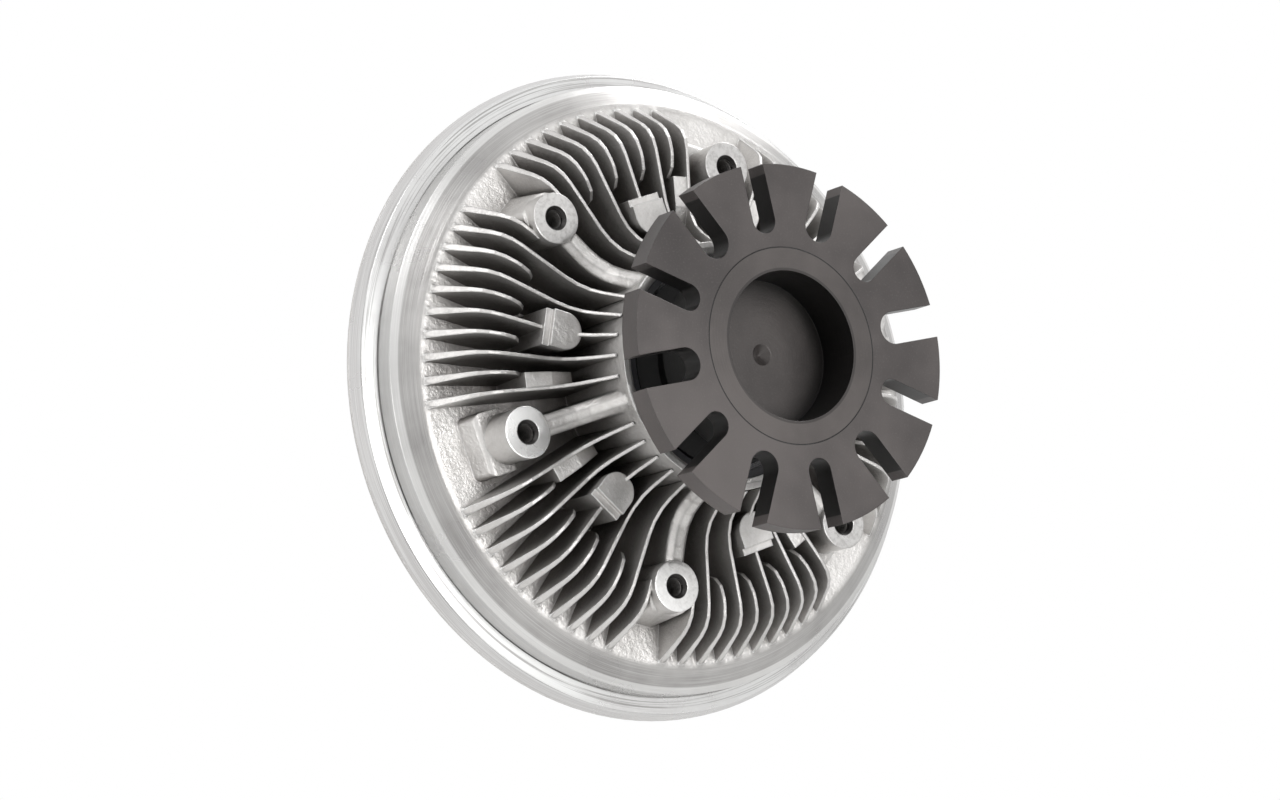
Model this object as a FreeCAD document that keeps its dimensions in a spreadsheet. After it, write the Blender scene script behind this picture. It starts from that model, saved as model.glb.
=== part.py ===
import FreeCAD, Part
import math
import os
import re
import Sketcher
from FreeCAD import Placement, Rotation, Vector

# Viscous fan clutch, seen from the engine: a slotted drive flange on a shaft, which carries a
# finned housing on a roller bearing. Millimetres. The clutch axis is Y, its origin is the centre
# of the flange's mounting face, and the body lies towards +Y. Angles round the axis are counted
# from +Z towards +X. Heights along the axis are called stations.

ORIGIN = Vector(0, 0, 0)
AXIS = Vector(0, 1, 0)
RADIAL = Vector(0, 0, 1)
ACROSS = Vector(1, 0, 0)

SIZES = [
    # drive flange
    ("flange_d", 134.5, "outside diameter of the slotted flange"),
    ("flange_thick", 9.4, "thickness of the slotted flange"),
    ("slot_pairs", 6, "number of wide slots, and of narrow slots"),
    ("slot_wide", 12.0, "width of the wide slots"),
    ("slot_narrow", 10.0, "width of the narrow slots"),
    ("slot_root_d", 83.4, "circle touched by the slots' round ends"),
    ("flange_turn", 16.0, "angle of the first wide slot"),
    # drive shaft
    ("hub_d", 72.6, "hub pressed into the flange"),
    ("hub_length", 30.0, "length of the hub"),
    ("pilot_d", 55.4, "bore of the pilot recess"),
    ("pilot_depth", 19.0, "depth of the pilot recess"),
    ("dimple_d", 8.0, "centre-drill dimple in the recess floor"),
    ("neck_d", 56.0, "shaft between hub and bearing"),
    ("rotor_seat_d", 34.0, "shaft where the rotor sits"),
    ("rotor_seat_gap", 1.0, "shaft end below the rotor's hub face"),
    ("bolt_d", 12.0, "rotor bolt"),
    ("bolt_depth", 28.0, "thread depth of the rotor bolt"),
    ("bolt_head_w", 24.0, "rotor bolt, across flats"),
    ("bolt_head_tall", 7.0, "rotor bolt head height"),
    # roller bearing
    ("brg_station", 45.5, "start of the bearing"),
    ("brg_width", 23.0, "bearing width"),
    ("brg_bore", 45.0, "bearing bore"),
    ("brg_od", 85.0, "bearing outside diameter"),
    ("race_in_d", 54.7, "inner raceway"),
    ("roller_d", 10.0, "nominal roller diameter"),
    ("roller_gap", 0.03, "running clearance at each raceway"),
    ("roller_long", 15.0, "roller length"),
    ("roller_count", 10, "rollers"),
    ("seal_thick", 1.0, "bearing seal thickness"),
    ("seal_inset", 0.4, "bearing seal below the rings' faces"),
    ("seal_gap", 0.1, "clearance of the bearing seal to the inner ring"),
    ("cage_wall", 3.6, "cage thickness, centred on the rollers"),
    ("cage_end", 1.85, "cage bar beyond the ends of the rollers"),
    ("cage_gap", 0.15, "clearance of a roller in its pocket"),
    ("circlip_thick", 2.5, "retaining ring thickness"),
    ("circlip_groove_d", 88.6, "retaining ring groove"),
    ("circlip_in_d", 79.0, "retaining ring inside"),
    ("circlip_opening", 14.0, "opening of the retaining ring"),
    # rear housing, turned forms
    ("tower_station", 40.0, "machined end of the hub tower"),
    ("tower_d", 93.2, "hub tower"),
    ("mouth_d", 88.8, "chamfered mouth of the bearing bore"),
    ("brg_lip_d", 59.0, "opening in the lip behind the bearing"),
    ("brg_lip_thick", 5.5, "lip behind the bearing"),
    ("throat_d", 84.0, "throat between bearing lip and working chamber"),
    ("floor_station", 81.2, "cast floor between the fins"),
    ("wall_thick", 6.8, "housing wall under the floor"),
    ("dish_in_d", 217.2, "inner edge of the machined dish"),
    ("rim_d", 234.4, "turned rim of the rear housing"),
    ("rim_station", 87.7, "rear edge of the turned rim"),
    ("cavity_d", 214.4, "working chamber"),
    # annular lands of the working chamber
    ("land_count", 1, "annular lands on each side"),
    ("land_first_d", 196.0, "innermost housing land, inside"),
    ("land_pitch", 6.0, "radial pitch of the lands"),
    ("land_width", 2.4, "width of a land"),
    ("land_tall", 3.6, "height of a land"),
    ("work_gap", 0.8, "shear gap at the ends of the lands"),
    ("rotor_thick", 6.0, "rotor disc"),
    ("rotor_hub_d", 54.0, "rotor hub"),
    ("rotor_hub_face", 88.0, "front face of the rotor hub"),
    ("rotor_web_d", 78.0, "web of the rotor"),
    ("rotor_web_station", 80.0, "rear face of the web"),
    ("rotor_recess_d", 68.0, "recess round the rotor bolt"),
    ("rotor_flow_d", 8.0, "flow holes of the rotor"),
    ("rotor_flow_circle", 116.0, "circle of the flow holes"),
    ("rotor_flow_count", 4, "flow holes"),
    # housing fins, bosses, pads and spokes
    ("sectors", 6, "repeats round the housing"),
    ("housing_turn", 9.0, "angle of the first fan boss"),
    ("fin_pitch", 4.71, "angle between fins"),
    ("fin_station", 60.4, "crest of the fins"),
    ("fin_foot_d", 213.6, "outer foot of the fins"),
    ("fin_slope_d", 188.0, "circle where the outer slope reaches the crest"),
    ("fin_crest_in_d", 115.0, "circle where the crest starts to climb the tower"),
    ("fin_tower_station", 44.0, "fin at the tower"),
    ("fin_top", 1.2, "fin thickness at its crest"),
    ("fin_base", 3.2, "fin thickness at its foot"),
    ("fin_crest_round", 13.0, "radius from the outer slope into the crest"),
    ("fin_climb_round", 16.0, "radius where the crest starts to climb"),
    ("fin_nose_round", 9.0, "radius of a short fin's inner end"),
    ("round_flats", 3, "flats in a rounded corner of a fin's crest"),
    ("short_fin_d", 150.0, "inner end of the short fins"),
    ("boss_circle", 164.4, "circle of the fan bosses"),
    ("boss_d", 19.2, "fan boss face"),
    ("boss_station", 57.8, "machined face of the fan bosses"),
    ("boss_hole_d", 6.8, "tapped hole of the fan bosses"),
    ("boss_mouth_d", 9.2, "chamfer of the tapped holes"),
    ("boss_hole_deep", 20.0, "depth of the tapped holes"),
    ("gusset_width", 17.0, "web outside a fan boss"),
    ("gusset_reach", 11.5, "radial reach of the web from the boss centre"),
    ("ledge_width", 24.0, "wide ledge outside a fan boss"),
    ("ledge_station", 72.5, "top of the wide ledge"),
    ("ledge_reach", 13.0, "radial reach of the wide ledge"),
    ("gusset_slope", 2.5, "slope of the outer face of webs and ledges"),
    ("gusset_corner", 4.0, "radius of the webs' outer corners"),
    ("ledge_corner", 2.4, "radius of the wide ledges' corners"),
    ("spoke_width", 8.0, "spoke from boss to tower"),
    ("spoke_station", 59.2, "crest of the spokes"),
    ("spoke_climb_d", 112.0, "circle where a spoke starts to climb"),
    ("spoke_climb_round", 14.0, "radius where a spoke starts to climb"),
    ("spoke_round", 2.3, "blunted edges of a spoke"),
    ("pad_circle", 123.4, "circle of the D-shaped pads' centres"),
    ("pad_d", 14.0, "width and round end of a D-shaped pad"),
    ("pad_flat", 5.4, "flat side of a pad from its centre"),
    ("pad_station", 56.8, "machined face of the pads"),
    ("pad_lip", 2.6, "lower lip along the pad's flat side"),
    ("pad_lip_drop", 1.8, "lip below the pad's face"),
    ("flat_station", 61.2, "ejector flat beside a short fin"),
    ("flat_in_d", 108.0, "inner end of an ejector flat"),
    ("flat_fall", 3.0, "fall of an ejector flat toward the tower"),
    # front cover
    ("cover_station", 99.4, "joint face of the cover"),
    ("rim_step", 96.2, "rear end of the turned step"),
    ("step_slope", 1.4, "fall of the step's face"),
    ("step_d", 247.0, "outer edge of the step's face"),
    ("cover_d", 251.0, "largest diameter"),
    ("cover_edge_start", 103.5, "station where the rim reaches its largest diameter"),
    ("cover_edge_end", 104.6, "station where the rim falls away again"),
    ("cover_floor_d", 243.0, "outer edge of the floor between the cover's fins"),
    ("cover_floor", 108.5, "floor between the cover's fins"),
    ("dome_station", 114.0, "raised middle of the cover"),
    ("reservoir_end", 110.0, "front wall of the reservoir"),
    ("nose_d", 44.0, "nose that carries the bimetal strip"),
    ("nose_station", 121.0, "face of the nose"),
    ("cover_fins", 60, "fins on the cover"),
    ("cover_fin_station", 119.6, "crest of the cover's fins"),
    ("cover_fin_d", 242.0, "outer foot of the cover's fins"),
    ("cover_fin_slope_d", 233.6, "circle where the outer slope reaches the crest"),
    ("cover_fin_in_d", 92.0, "inner end of the long fins"),
    ("cover_short_in_d", 158.0, "inner end of the short fins"),
    ("cover_fin_top", 1.6, "cover fin thickness at its crest"),
    ("cover_fin_base", 2.8, "cover fin thickness at its foot"),
    ("cover_fin_round", 4.0, "radius at the ends of a cover fin's crest"),
    # intermediate plate, valve and pump
    ("plate_d", 132.0, "intermediate plate"),
    ("reservoir_ledge", 10.0, "ledge under the plate's edge"),
    ("dome_wall", 6.0, "side wall of the reservoir"),
    ("plate_rivet_inset", 5.5, "rivets from the plate's edge"),
    ("plate_thick", 1.5, "intermediate plate thickness"),
    ("plate_gap", 0.1, "plate below the joint face"),
    ("port_d", 6.0, "valve port"),
    ("port_reach", 45.0, "valve port from the axis"),
    ("plate_rivet_count", 4, "rivets of the intermediate plate"),
    ("plate_rivet_d", 5.0, "rivet of the intermediate plate"),
    ("plate_rivet_long", 6.0, "its length"),
    ("pivot_reach", 24.0, "valve pivot from the axis"),
    ("pivot_d", 2.4, "valve pivot pin"),
    ("pivot_gap", 0.05, "clearance of lever and pivot"),
    ("eye_d", 4.4, "eye of the valve lever"),
    ("ear_thick", 1.2, "ears that hold the pivot"),
    ("ear_gap", 0.2, "lever to ear"),
    ("lever_width", 9.0, "valve lever"),
    ("lever_thick", 0.8, "valve lever thickness"),
    ("lever_pad_d", 11.0, "pad of the lever over the port"),
    ("lever_gap", 0.15, "lever above the plate at rest"),
    ("wiper_long", 14.0, "pump block, along the rim"),
    ("wiper_wide", 3.0, "pump block, radial"),
    ("wiper_tall", 6.0, "pump block, axial"),
    ("wiper_gap", 0.4, "pump block clear of the rotor"),
    # thermostat
    ("pin_d", 5.0, "control pin"),
    ("pin_tip_d", 1.6, "tip of the control pin"),
    ("pin_tip_gap", 0.1, "tip of the pin above the lever"),
    ("pin_shoulder", 2.0, "length of the pin's tip"),
    ("pin_gap", 0.05, "clearance of the pin"),
    ("pin_travel", 1.2, "travel of the pin"),
    ("bush_d", 10.0, "bush of the control pin"),
    ("bush_long", 12.0, "length of the bush"),
    ("bush_proud", 2.0, "bush beyond the nose"),
    ("strip_long", 76.0, "bimetal strip"),
    ("strip_width", 14.0, "bimetal strip width"),
    ("strip_thick", 1.4, "bimetal strip thickness"),
    ("strip_rise", 7.0, "bimetal strip above the nose"),
    ("bracket_long", 70.0, "bimetal bracket between its outer faces"),
    ("bracket_width", 22.0, "bimetal bracket width"),
    ("bracket_thick", 1.5, "bimetal bracket sheet"),
    ("bracket_tall", 12.0, "bimetal bracket height"),
    ("window_play", 0.5, "play of the strip in its windows"),
    ("bracket_hole_d", 14.0, "hole round the bush"),
    ("bracket_screw_d", 5.0, "bracket screw"),
    ("bracket_screw_head_d", 8.0, "bracket screw, across flats"),
    ("bracket_screw_head_tall", 3.0, "bracket screw head height"),
    ("bracket_screw_long", 7.0, "bracket screw below its head"),
    ("bracket_screw_reach", 15.0, "bracket screws from the axis"),
    # fill plug
    ("plug_angle", 90.0, "angle of the fill plug"),
    ("plug_reach", 36.0, "fill plug from the axis"),
    ("plug_d", 10.0, "fill plug thread"),
    ("plug_head_d", 14.0, "fill plug, across flats"),
    ("plug_head_tall", 4.0, "fill plug head height"),
]

doc = FreeCAD.newDocument("FanClutch")
sheet = doc.addObject("Spreadsheet::Sheet", "Sizes")
for row, (alias, value, note) in enumerate(SIZES, start=1):
    sheet.set("A%d" % row, alias)
    sheet.set("B%d" % row, str(value))
    sheet.set("C%d" % row, note)
    sheet.setAlias("B%d" % row, alias)
doc.recompute()
aliases = {alias for alias, value, note in SIZES}
nodes = []


def linked(formula):
    """The formula with each size name pointed at the sheet."""
    return re.sub(r"[a-z_][a-z_0-9]*", lambda m: "Sizes." + m.group(0) if m.group(0) in aliases else m.group(0), formula)


def val(formula):
    """The number that a formula of size names gives now."""
    return float(sheet.evalExpression(formula))


def count(formula):
    return int(round(val(formula)))


def new_body(label):
    body = doc.addObject("PartDesign::Body", label)
    body.Label = label
    nodes.append(body)
    return body


def plane_of(body, role):
    return next(o for o in body.Origin.OriginFeatures if o.Role == role)


def new_sketch(body, name, role="XY_Plane"):
    sketch = body.newObject("Sketcher::SketchObject", name)
    sketch.AttachmentSupport = [(plane_of(body, role), "")]
    sketch.MapMode = "FlatFace"
    return sketch


def place_point(sketch, geometry, corner, x, y):
    """Ties one corner of a sketch to two formulas."""
    for kind, formula in (("DistanceX", x), ("DistanceY", y)):
        index = sketch.addConstraint(Sketcher.Constraint(kind, -1, 1, geometry, corner, val(formula)))
        sketch.setExpression("Constraints[%d]" % index, linked(formula))


def draw_outline(sketch, points):
    """A closed outline whose corners are (radius, station) formulas."""
    spots = [Vector(val(x), val(y), 0) for x, y in points]
    last = len(points) - 1
    for i in range(len(points)):
        sketch.addGeometry(Part.LineSegment(spots[i], spots[(i + 1) % len(points)]))
    for i in range(len(points)):
        sketch.addConstraint(Sketcher.Constraint("Coincident", i, 2, (i + 1) if i < last else 0, 1))
    for i, (x, y) in enumerate(points):
        place_point(sketch, i, 1, x, y)


def turned_body(label, points):
    """A piece turned about the clutch axis from one outline."""
    body = new_body(label)
    sketch = new_sketch(body, label + "_outline")
    draw_outline(sketch, points)
    turn = body.newObject("PartDesign::Revolution", label + "_turn")
    turn.Profile = sketch
    turn.ReferenceAxis = (sketch, ["V_Axis"])
    turn.Angle = 360.0
    body.Tip = turn
    return body


def feature(label, shape):
    """A piece whose shape is worked out in code."""
    piece = doc.addObject("Part::Feature", label)
    piece.Label = label
    piece.Shape = shape
    nodes.append(piece)
    return piece


def turn_to(shape, angle):
    """A copy turned about the clutch axis."""
    copy = shape.copy()
    copy.rotate(ORIGIN, AXIS, angle)
    return copy


def ring(outer_d, inner_d, start, end):
    """A plain ring about the clutch axis."""
    solid = Part.makeCylinder(outer_d / 2, end - start, AXIS * start, AXIS)
    if inner_d > 0:
        solid = solid.cut(Part.makeCylinder(inner_d / 2, end - start, AXIS * start, AXIS))
    return solid


def rod(diameter, start, end, reach=0.0, across=0.0, end_d=None):
    """A rod along the clutch axis, standing off it by reach and across; end_d makes it a cone."""
    foot = Vector(across, start, reach)
    if end_d is None:
        return Part.makeCylinder(diameter / 2, end - start, foot, AXIS)
    return Part.makeCone(diameter / 2, end_d / 2, end - start, foot, AXIS)


def block(width, start, end, reach_in, reach_out, across=0.0):
    """A box with its width across, its height along the axis and its length along the radius."""
    corner = Vector(across - width / 2, start, reach_in)
    return Part.makeBox(width, end - start, reach_out - reach_in, corner)


def side_view(corners, radii):
    """A face with those corners, as radius and station, each rounded in a few flats by its radius."""
    spots = [Vector(0, station, radius) for radius, station in corners]
    path = []
    for i, spot in enumerate(spots):
        if radii[i] == 0:
            path.append(spot)
            continue
        before = (spots[i - 1] - spot).normalize()
        after = (spots[(i + 1) % len(spots)] - spot).normalize()
        half_turn = (math.pi - before.getAngle(after)) / 2
        tangent = radii[i] * math.tan(half_turn)
        middle = spot + (before + after).normalize() * (radii[i] / math.cos(half_turn) - radii[i])
        curve = Part.Arc(spot + before * tangent, middle, spot + after * tangent).toShape()
        path += curve.discretize(Number=count("round_flats") + 1)
    return Part.Face(Part.makePolygon(path + path[:1]))


def plate_from(corners, radii, width):
    """A plate of that side view, its width centred on the radial plane."""
    face = side_view(corners, radii)
    face.translate(ACROSS * (-width / 2))
    return face.extrude(ACROSS * width)


def tapered_fin(corners, radii, crest, foot, top, base, reach_in, reach_out):
    """A cast fin: its section narrows from foot to crest."""
    beyond = crest + (crest - foot) * 2
    section = [
        Vector(-base / 2, foot, reach_in),
        Vector(-top / 2, crest, reach_in),
        Vector(-top / 2, beyond, reach_in),
        Vector(top / 2, beyond, reach_in),
        Vector(top / 2, crest, reach_in),
        Vector(base / 2, foot, reach_in),
    ]
    wedge = Part.Face(Part.makePolygon(section + section[:1])).extrude(RADIAL * (reach_out - reach_in))
    return plate_from(corners, radii, base * 2).common(wedge)


# slotted flange
flange = new_body("slotted_flange")
flange_outline = new_sketch(flange, "flange_outline")
draw_outline(flange_outline, [
    ("hub_d/2", "0"),
    ("flange_d/2", "0"),
    ("flange_d/2", "flange_thick"),
    ("hub_d/2", "flange_thick"),
])
flange_disc = flange.newObject("PartDesign::Revolution", "flange_disc")
flange_disc.Profile = flange_outline
flange_disc.ReferenceAxis = (flange_outline, ["V_Axis"])
flange_disc.Angle = 360.0
doc.recompute()


def slot_cut(name, width, turn, base):
    """One row of open slots with round inner ends, cut through the flange."""
    sketch = new_sketch(flange, name + "_outline", "XZ_Plane")
    sketch.AttachmentOffset = Placement(ORIGIN, Rotation(Vector(0, 0, 1), 0))
    sketch.setExpression("AttachmentOffset.Rotation.Angle", linked(turn))
    half = val(width) / 2
    root = val("slot_root_d") / 2 + half
    end = val("flange_d") / 2 + 5
    sketch.addGeometry(Part.LineSegment(Vector(-half, end, 0), Vector(-half, root, 0)))
    sketch.addGeometry(Part.ArcOfCircle(Part.Circle(Vector(0, root, 0), Vector(0, 0, 1), half), math.pi, 2 * math.pi))
    sketch.addGeometry(Part.LineSegment(Vector(half, root, 0), Vector(half, end, 0)))
    sketch.addGeometry(Part.LineSegment(Vector(half, end, 0), Vector(-half, end, 0)))
    sketch.addConstraint(Sketcher.Constraint("Tangent", 0, 2, 1, 1))
    sketch.addConstraint(Sketcher.Constraint("Tangent", 1, 2, 2, 1))
    sketch.addConstraint(Sketcher.Constraint("Coincident", 2, 2, 3, 1))
    sketch.addConstraint(Sketcher.Constraint("Coincident", 3, 2, 0, 1))
    sketch.addConstraint(Sketcher.Constraint("Vertical", 0))
    sketch.addConstraint(Sketcher.Constraint("Horizontal", 3))
    place_point(sketch, 1, 3, "0", "slot_root_d/2 + " + width + "/2")
    index = sketch.addConstraint(Sketcher.Constraint("Radius", 1, half))
    sketch.setExpression("Constraints[%d]" % index, linked(width + "/2"))
    index = sketch.addConstraint(Sketcher.Constraint("DistanceY", -1, 1, 3, 1, end))
    sketch.setExpression("Constraints[%d]" % index, linked("flange_d/2 + flange_thick"))
    cut = flange.newObject("PartDesign::Pocket", name + "_cut")
    cut.Profile = sketch
    cut.Type = "ThroughAll"
    cut.Midplane = True
    doc.recompute()
    repeat = flange.newObject("PartDesign::PolarPattern", name + "_row")
    repeat.Originals = [cut]
    repeat.Axis = (plane_of(flange, "Y_Axis"), [""])
    repeat.Angle = 360.0
    repeat.setExpression("Occurrences", linked("slot_pairs"))
    flange.Tip = repeat
    doc.recompute()
    return repeat


wide_row = slot_cut("wide_slot", "slot_wide", "-flange_turn", flange_disc)
narrow_row = slot_cut("narrow_slot", "slot_narrow", "-(flange_turn + 180/slot_pairs)", wide_row)

# drive shaft: hub with pilot recess, neck, bearing seat and rotor seat
brg_end = "(brg_station + brg_width)"
shaft_end = "(rotor_hub_face - rotor_seat_gap)"
shaft = turned_body("drive_shaft", [
    ("pilot_d/2", "0"),
    ("hub_d/2", "0"),
    ("hub_d/2", "hub_length"),
    ("neck_d/2", "hub_length"),
    ("neck_d/2", "brg_station"),
    ("brg_bore/2", "brg_station"),
    ("brg_bore/2", brg_end),
    ("rotor_seat_d/2", brg_end),
    ("rotor_seat_d/2", shaft_end),
    ("bolt_d/2", shaft_end),
    ("bolt_d/2", shaft_end + " - bolt_depth"),
    ("0", shaft_end + " - bolt_depth"),
    ("0", "pilot_depth + dimple_d/3"),
    ("dimple_d/2", "pilot_depth"),
    ("pilot_d/2", "pilot_depth"),
])

# roller bearing
race_out = "(race_in_d/2 + roller_d)"


def plain_ring(label, inside, outside, start, end):
    """A ring of rectangular section, from radii and stations."""
    return turned_body(label, [(inside, start), (outside, start), (outside, end), (inside, end)])


plain_ring("bearing_inner_ring", "brg_bore/2", "race_in_d/2", "brg_station", brg_end)
plain_ring("bearing_outer_ring", race_out, "brg_od/2", "brg_station", brg_end)
seal_front = "(brg_station + seal_inset)"
plain_ring("bearing_seal", "race_in_d/2 + seal_gap", race_out, seal_front, seal_front + " + seal_thick")

roller_circle = val("race_in_d/2 + roller_d/2")
roller_start = val("brg_station + (brg_width - roller_long)/2")
roller_end = roller_start + val("roller_long")
cage_gap = val("cage_gap")
cage_in = roller_circle - val("cage_wall/2")
cage_out = roller_circle + val("cage_wall/2")
rollers = []
pockets = []
for i in range(count("roller_count")):
    angle = 360.0 * i / count("roller_count")
    rollers.append(turn_to(rod(val("roller_d - 2*roller_gap"), roller_start, roller_end, roller_circle), angle))
    pocket = block(val("roller_d") + 2 * cage_gap, roller_start - cage_gap, roller_end + cage_gap,
                   cage_in - 1, cage_out + 1)
    pockets.append(turn_to(pocket, angle))
feature("bearing_rollers", Part.makeCompound(rollers))
cage_start = roller_start - cage_gap - val("cage_end")
cage = ring(2 * cage_out, 2 * cage_in, cage_start, roller_end + cage_gap + val("cage_end"))
feature("bearing_cage", cage.cut(pockets))

groove_start = "(brg_station - circlip_thick)"
ring_start = val(groove_start)
ring_end = val("brg_station")
circlip = ring(val("circlip_groove_d"), val("circlip_in_d"), ring_start, ring_end)
opening = block(val("circlip_opening"), ring_start, ring_end, 0, val("circlip_groove_d"))
feature("bearing_retaining_ring", circlip.cut(opening))

# rear housing, turned forms: the outside first, then what is bored out of it
chamber = "(floor_station + wall_thick)"
housing_outside = [
    ("0", "tower_station"),
    ("tower_d/2", "tower_station"),
    ("tower_d/2", "floor_station"),
    ("dish_in_d/2", "floor_station"),
    ("rim_d/2", "rim_station"),
    ("rim_d/2", "cover_station"),
    ("0", "cover_station"),
]


def lands(first, count_formula, root, tip):
    """Corners of annular lands, from the innermost outwards, that reach from root to tip."""
    corners = []
    for i in range(count(count_formula)):
        inner = first + "/2 + %d*land_pitch" % i
        corners += [(inner, root), (inner, tip), (inner + " + land_width", tip), (inner + " + land_width", root)]
    return corners


housing_inside = [
    ("0", "tower_station"),
    ("mouth_d/2", "tower_station"),
    ("brg_od/2", "tower_station + (mouth_d - brg_od)/2"),
    ("brg_od/2", groove_start),
    ("circlip_groove_d/2", groove_start),
    ("circlip_groove_d/2", "brg_station"),
    ("brg_od/2", "brg_station"),
    ("brg_od/2", brg_end),
    ("brg_lip_d/2", brg_end),
    ("brg_lip_d/2", brg_end + " + brg_lip_thick"),
    ("throat_d/2", brg_end + " + brg_lip_thick"),
    ("throat_d/2", chamber),
] + lands("land_first_d", "land_count", chamber, chamber + " + land_tall") + [
    ("cavity_d/2", chamber),
    ("cavity_d/2", "cover_station"),
    ("0", "cover_station"),
]


def turned(points):
    """A solid turned about the clutch axis."""
    spots = [Vector(0, val(y), val(x)) for x, y in points]
    return Part.Face(Part.makePolygon(spots + spots[:1])).revolve(ORIGIN, AXIS, 360)


# cast features of the rear housing, each drawn at angle 0 and turned to its place
floor = val("floor_station")
sunk = floor + val("wall_thick") / 2
tower_in = val("brg_od/2") + 1
tower_wall = val("tower_d/2") + 0.5
fin_crest = val("fin_station")
fin_profile = [
    (val("fin_foot_d/2"), floor),
    (val("fin_slope_d/2"), fin_crest),
    (val("fin_crest_in_d/2"), fin_crest),
    (tower_wall, val("fin_tower_station")),
    (tower_wall, sunk),
    (val("fin_foot_d/2") - 1, sunk),
]
fin_radii = [0, val("fin_crest_round"), val("fin_climb_round"), 0, 0, 0]


def housing_fin(corners, radii):
    return tapered_fin(
        corners, radii, fin_crest, sunk, val("fin_top"), val("fin_base"),
        tower_in, val("fin_foot_d/2") + 1,
    )


long_fin = housing_fin(fin_profile, fin_radii)
short_in = val("short_fin_d/2")
short_fin = housing_fin(
    [fin_profile[0], fin_profile[1], (short_in, fin_crest), (short_in, sunk), fin_profile[5]],
    [0, val("fin_crest_round"), val("fin_nose_round"), 0, 0],
)
boss_reach = val("boss_circle/2")


def soften(web, radius, inside, foot):
    """Rounds the top and the outer corners of a web that stands on the floor outside a boss."""
    edges = []
    for edge in web.Edges:
        middle = edge.valueAt((edge.FirstParameter + edge.LastParameter) / 2)
        across = edge.BoundBox.XLength > 1e-6
        outside = middle.z > inside + 1e-6
        standing = middle.y < foot and abs(middle.x) > 1e-6 and edge.BoundBox.ZMin > inside + radius
        if outside and middle.y < foot - 1e-6 and (standing or (across and edge.BoundBox.ZMin > inside + radius)):
            edges.append(edge)
    return web.makeFillet(radius, edges)


side_fin = housing_fin(
    [fin_profile[0], fin_profile[1], (boss_reach, fin_crest), (boss_reach, sunk), fin_profile[5]],
    [0, val("fin_crest_round"), 0, 0, 0],
)
boss = rod(val("boss_d"), val("boss_station"), sunk, boss_reach)
boss_hole = rod(val("boss_hole_d"), val("boss_station"), val("boss_station + boss_hole_deep"), boss_reach)
chamfer = val("(boss_mouth_d - boss_hole_d)/2")
boss_mouth = rod(val("boss_mouth_d"), val("boss_station"), val("boss_station") + chamfer, boss_reach,
                 end_d=val("boss_hole_d"))
slope = val("gusset_slope")
gusset_end = boss_reach + val("gusset_reach")
gusset = plate_from(
    [(boss_reach, val("boss_station + gusset_slope")), (gusset_end - slope, val("boss_station + gusset_slope*2")),
     (gusset_end, floor), (gusset_end, sunk), (boss_reach, sunk)],
    [0, 0, 0, 0, 0], val("gusset_width"),
)
gusset = soften(gusset, val("gusset_corner"), boss_reach, floor)
ledge_end = boss_reach + val("ledge_reach")
ledge = plate_from(
    [(boss_reach, val("ledge_station")), (ledge_end - slope, val("ledge_station")),
     (ledge_end, floor), (ledge_end, sunk), (boss_reach, sunk)],
    [0, 0, 0, 0, 0], val("ledge_width"),
)
ledge = soften(ledge, val("ledge_corner"), boss_reach, floor)
spoke_top = val("spoke_station")
spoke = plate_from(
    [(boss_reach, spoke_top), (val("spoke_climb_d/2"), spoke_top), (val("mouth_d/2") + 0.8, val("tower_station")),
     (val("mouth_d/2"), val("tower_station")), (val("mouth_d/2"), sunk), (boss_reach, sunk)],
    [0, val("spoke_climb_round"), 0, 0, 0, 0], val("spoke_width"),
)
crest_edges = []
for edge in spoke.Edges:
    middle = edge.valueAt((edge.FirstParameter + edge.LastParameter) / 2)
    sides = {round(abs(v.Point.x) - val("spoke_width/2"), 6) for v in edge.Vertexes}
    along = abs(edge.Vertexes[0].Point.x - edge.Vertexes[-1].Point.x) < 1e-6
    if sides == {0.0} and along and middle.y < spoke_top + 1e-6 and middle.z > val("mouth_d/2") + 0.9:
        crest_edges.append(edge)
spoke = spoke.makeChamfer(val("spoke_round"), crest_edges)

pad_reach = val("pad_circle/2")
pad_half = val("pad_d/2")
pad = rod(val("pad_d"), val("pad_station"), sunk, pad_reach)
pad = pad.fuse(block(val("pad_d"), val("pad_station"), sunk, pad_reach, pad_reach + val("pad_flat")))
pad = pad.common(block(val("pad_d"), val("pad_station"), sunk, pad_reach - pad_half, pad_reach + val("pad_flat")))
pad_end = pad_reach + val("pad_flat")
pad = pad.fuse(block(val("pad_d"), val("pad_station + pad_lip_drop"), sunk, pad_end, pad_end + val("pad_lip")))
pad = pad.removeSplitter()

flat_in = val("flat_in_d/2")
flat_middle = (flat_in + short_in) / 2
flat_width = flat_middle * math.radians(val("fin_pitch")) + val("fin_top")
flat_top = val("flat_station")
ejector_flat = plate_from(
    [(short_in + 1, flat_top), (flat_middle, flat_top), (flat_in, flat_top + val("flat_fall")), (flat_in, sunk),
     (short_in + 1, sunk)],
    [0, 0, 0, 0, 0], flat_width,
)

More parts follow.
